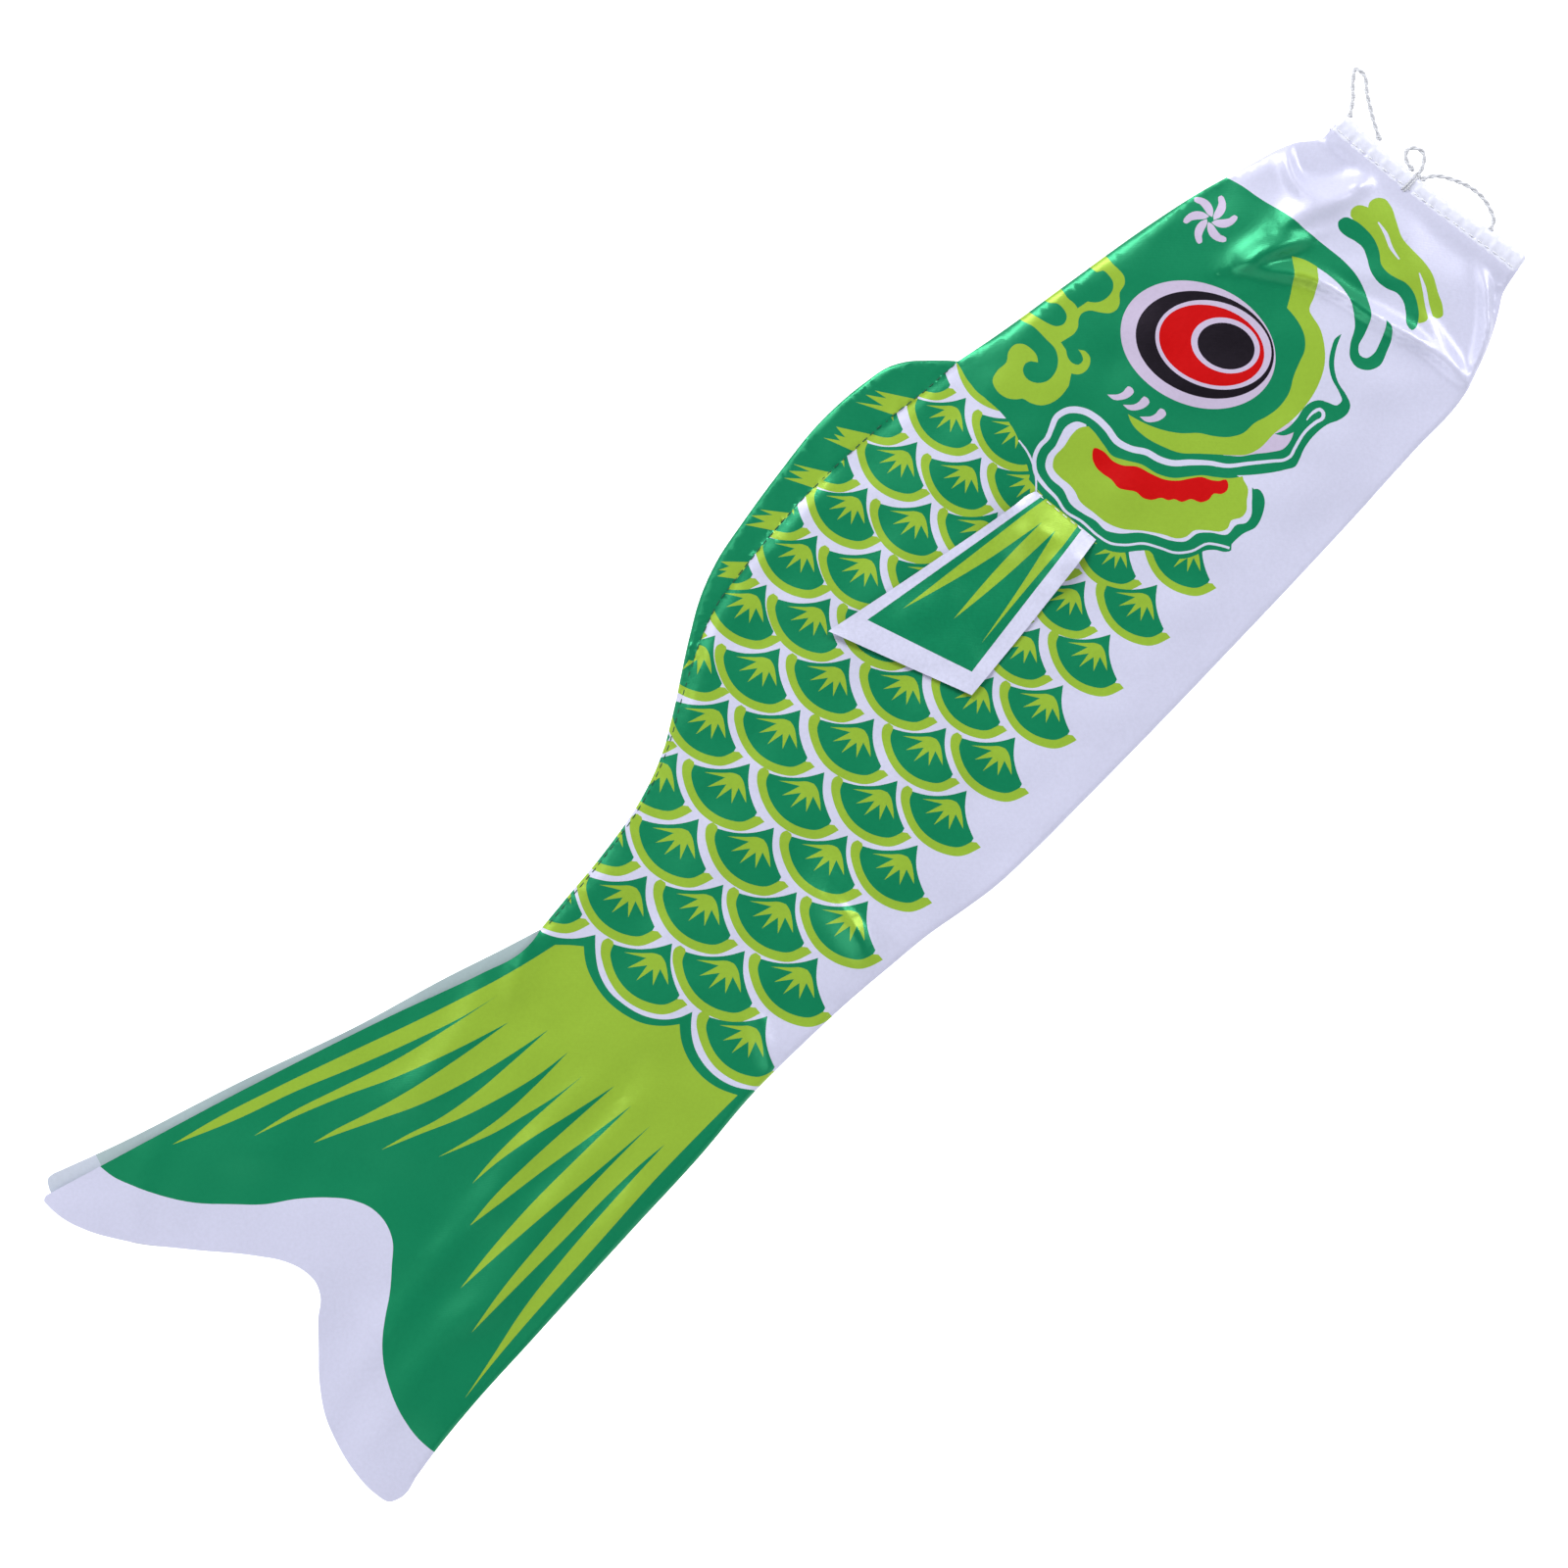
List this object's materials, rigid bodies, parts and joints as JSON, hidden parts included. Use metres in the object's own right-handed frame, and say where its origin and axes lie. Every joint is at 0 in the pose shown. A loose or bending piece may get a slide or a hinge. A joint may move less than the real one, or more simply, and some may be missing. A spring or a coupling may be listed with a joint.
{
  "type": "carp streamer",
  "caption": "Fish-shaped satin wind tube laid flat: hooped and hemmed mouth with a thin cord bridle, loose side fins and a forked open tail.",
  "frame": {"origin": "middle of the open mouth, at the front edge of the hem, on the plane where the two cloth layers meet", "axes": "+X out of the mouth, away from the tail; +Y towards the fish's back; +Z through the layers, towards the fish's right side, which lies on top"},
  "size_m": [0.564, 0.1575, 0.0064],
  "materials": {
    "printed_satin": "satin weave, dye-sublimation print in green, lime and white",
    "white_satin": "satin",
    "fin_satin": "satin weave, printed green and lime with a white edge",
    "hoop_plastic": "smooth",
    "thread": "spun polyester",
    "bridle_cord": "thin twisted cord"
  },
  "bodies": {
    "front": {"body_tube_front": "printed_satin", "right_back_seam_stitches_front": "thread", "left_back_seam_stitches_front": "thread", "right_mouth_hem": "white_satin", "right_mouth_hoop_strap": "hoop_plastic", "right_mouth_hem_stitches": "thread", "right_fin_stitches": "thread", "left_fin_stitches": "thread", "bridle_centre_tie": "bridle_cord"},
    "rear": {"body_tube_rear": "printed_satin", "right_back_seam_stitches_rear": "thread", "left_back_seam_stitches_rear": "thread"},
    "tail": {"right_tail_layer": "printed_satin"},
    "left_tail": {"left_tail_layer": "printed_satin"},
    "right_fin": {"right_breast_fin": "fin_satin"},
    "left_fin": {"left_breast_fin": "fin_satin"},
    "left_lip": {"left_mouth_hem": "white_satin", "left_mouth_hoop_strap": "hoop_plastic", "left_mouth_hem_stitches": "thread"},
    "back_loop": {"bridle_back_loop": "bridle_cord"},
    "belly_arc": {"bridle_belly_arc": "bridle_cord"},
    "centre_loop": {"bridle_centre_loop": "bridle_cord"}
  },
  "joints": [
    {"name": "body_bend", "type": "hinge", "parent": "front", "child": "rear", "pos_m": [-0.28, 0, 0], "axis": [0, 1, 0], "range_deg": [-60, 60]},
    {"name": "tail_sway", "type": "hinge", "parent": "rear", "child": "tail", "pos_m": [-0.385, 0, 0], "axis": [0, 1, 0], "range_deg": [-60, 60]},
    {"name": "tail_part", "type": "hinge", "parent": "tail", "child": "left_tail", "pos_m": [-0.388, -0.0469, 0], "axis": [-0.9988, -0.049, 0], "range_deg": [0, 45]},
    {"name": "right_fin_flap", "type": "hinge", "parent": "front", "child": "right_fin", "pos_m": [-0.1596, -0.0006, 0.0018], "axis": [-0.0746, 0.9972, 0], "range_deg": [0, 150]},
    {"name": "left_fin_flap", "type": "hinge", "parent": "front", "child": "left_fin", "pos_m": [-0.1596, -0.0006, -0.0018], "axis": [0.0746, -0.9972, 0], "range_deg": [0, 150]},
    {"name": "mouth_open", "type": "slide", "parent": "front", "child": "left_lip", "axis": [0, 0, -1], "range_m": [0, 0.02]},
    {"name": "back_loop_swing", "type": "hinge", "parent": "front", "child": "back_loop", "pos_m": [0.00139, 0.00039, 0.0017], "axis": [0.1109, -0.9938, 0], "range_deg": [-90, 90]},
    {"name": "belly_arc_swing", "type": "hinge", "parent": "front", "child": "belly_arc", "pos_m": [0.00139, 0.00039, 0.0017], "axis": [0.1109, -0.9938, 0], "range_deg": [-90, 90]},
    {"name": "centre_loop_swing", "type": "hinge", "parent": "front", "child": "centre_loop", "pos_m": [0.00139, 0.00039, 0.0017], "axis": [0.1109, -0.9938, 0], "range_deg": [-90, 90]}
  ]
}
